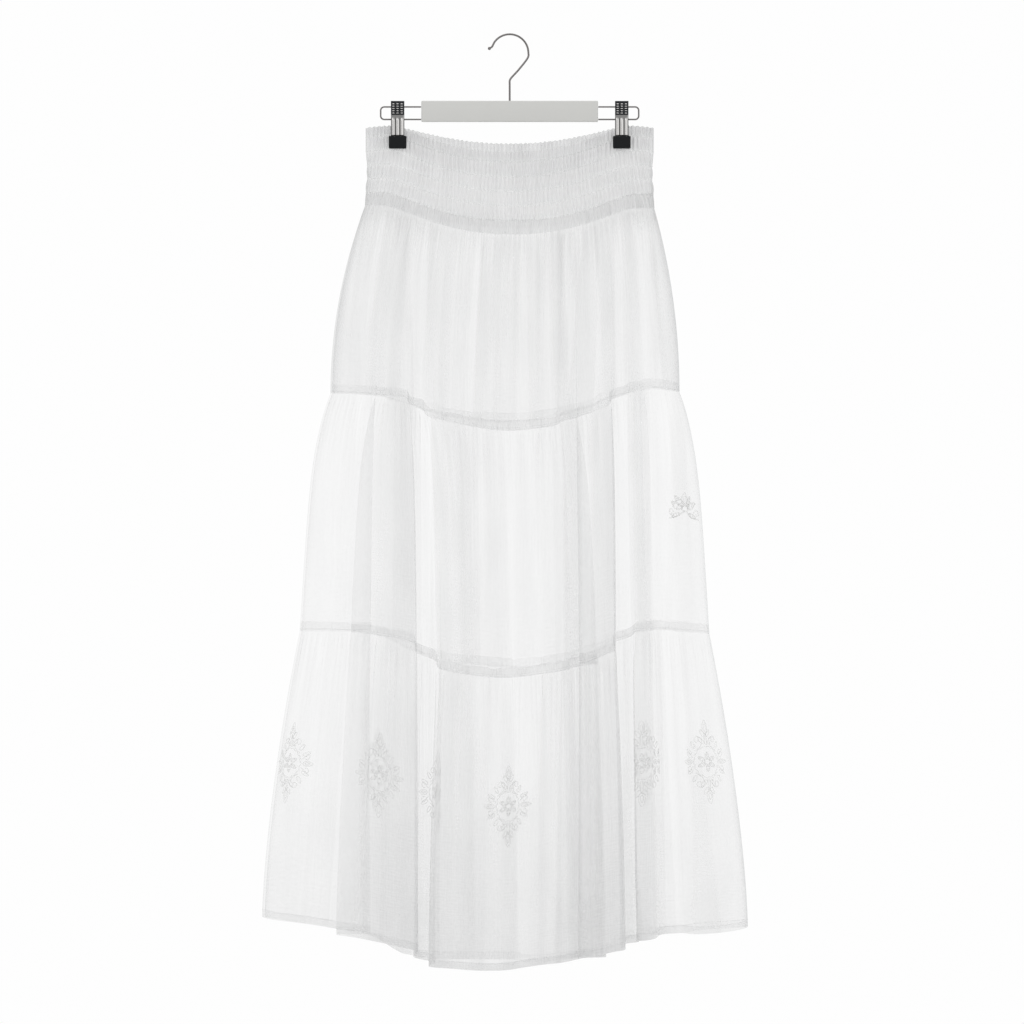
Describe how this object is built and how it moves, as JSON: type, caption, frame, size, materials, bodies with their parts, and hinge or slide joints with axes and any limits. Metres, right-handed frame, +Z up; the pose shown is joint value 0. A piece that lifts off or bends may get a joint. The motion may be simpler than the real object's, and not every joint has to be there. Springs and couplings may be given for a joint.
{
  "type": "tiered ruffle skirt on clip hanger",
  "caption": "Long skirt of sheer crinkled gauze in three gathered tiers under a shirred elastic yoke, hanging from a two-clip hanger.",
  "frame": {"origin": "underside of the hook's crown, where the hanger hangs on a rail or hook", "axes": "+Z up, -Y out of the skirt's front, +X to the right as seen from the front"},
  "size_m": [0.5686, 0.1629, 1.0948],
  "materials": {
    "gauze": "sheer crinkled cotton gauze",
    "shirred_gauze": "cotton gauze shirred on rows of elastic",
    "bar": "matt warm grey",
    "chrome": "polished",
    "spring_steel": "satin",
    "rubber": "satin black"
  },
  "bodies": {
    "root": {"yoke_front": "shirred_gauze", "yoke_back": "shirred_gauze", "tier_1_front": "gauze", "tier_1_back": "gauze", "tier_2_front": "gauze", "tier_2_back": "gauze", "tier_3_front": "gauze", "tier_3_back": "gauze", "hanger_bar": "bar", "hook": "chrome", "wire_loop_left": "chrome", "clip_left_spring": "spring_steel", "clip_left_jaw_front": "chrome", "clip_left_foot_front": "rubber", "clip_left_jaw_back": "chrome", "clip_left_foot_back": "rubber", "wire_loop_right": "chrome", "clip_right_spring": "spring_steel", "clip_right_jaw_front": "chrome", "clip_right_foot_front": "rubber", "clip_right_jaw_back": "chrome", "clip_right_foot_back": "rubber"}
  },
  "joints": []
}
